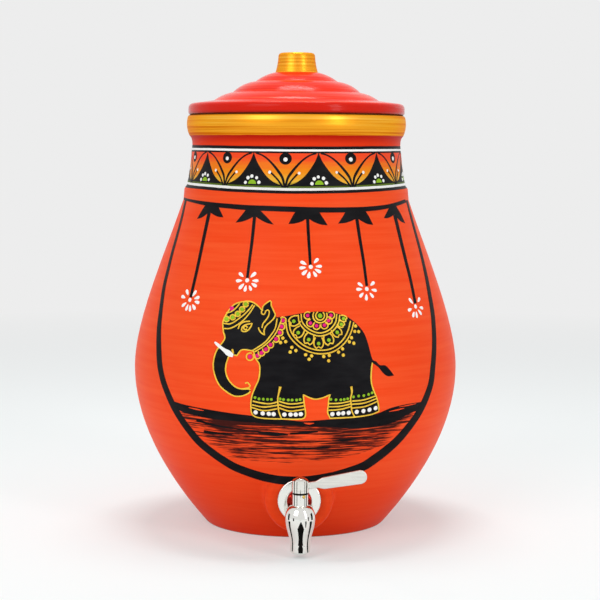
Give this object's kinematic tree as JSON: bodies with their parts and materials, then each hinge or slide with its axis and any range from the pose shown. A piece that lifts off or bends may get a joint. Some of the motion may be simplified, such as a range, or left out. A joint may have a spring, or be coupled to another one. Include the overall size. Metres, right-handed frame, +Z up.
{
  "type": "terracotta water jar",
  "caption": "Round-bellied painted clay water jar with a lift-off lid and knob, a gilt collar round the mouth and a quarter-turn steel lever tap low on the front.",
  "frame": {"origin": "centre of the flat base on the jar's axis", "axes": "+Z up along the jar's axis; -Y is the front, where the tap is; +X is the side the closed lever points to"},
  "size_m": [0.276, 0.2956, 0.4005],
  "materials": {
    "painted_clay": "satin red-orange paint on fired clay, bare clay inside",
    "lid_clay": "satin red-orange paint with a gold knob",
    "tap_steel": "polished stainless steel",
    "flange_steel": "polished stainless steel",
    "handle_steel": "polished stainless steel",
    "button_steel": "polished stainless steel",
    "plain_steel": "plain turned steel",
    "brass": "bright brass",
    "spindle_brass": "turned brass",
    "rubber": "matt black rubber"
  },
  "bodies": {
    "jar": {"jar_body": "painted_clay", "tap_body": "tap_steel", "stop_pin": "brass", "tap_flange": "flange_steel", "outer_gasket": "rubber", "inner_gasket": "rubber", "inner_washer": "plain_steel", "lock_nut": "plain_steel"},
    "lid": {"lid": "lid_clay"},
    "lever": {"lever_handle": "handle_steel", "spindle": "spindle_brass", "upper_o_ring": "rubber", "lower_o_ring": "rubber", "handle_screw": "plain_steel", "cap_button": "button_steel"}
  },
  "joints": [
    {"name": "lid_lift", "type": "slide", "parent": "jar", "child": "lid", "axis": [0, 0, 1], "range_m": [0, 0.08]},
    {"name": "lever_turn", "type": "hinge", "parent": "jar", "child": "lever", "pos_m": [0, -0.14565, 0.0512], "axis": [0, 0, 1], "range_deg": [-90, 0]}
  ]
}
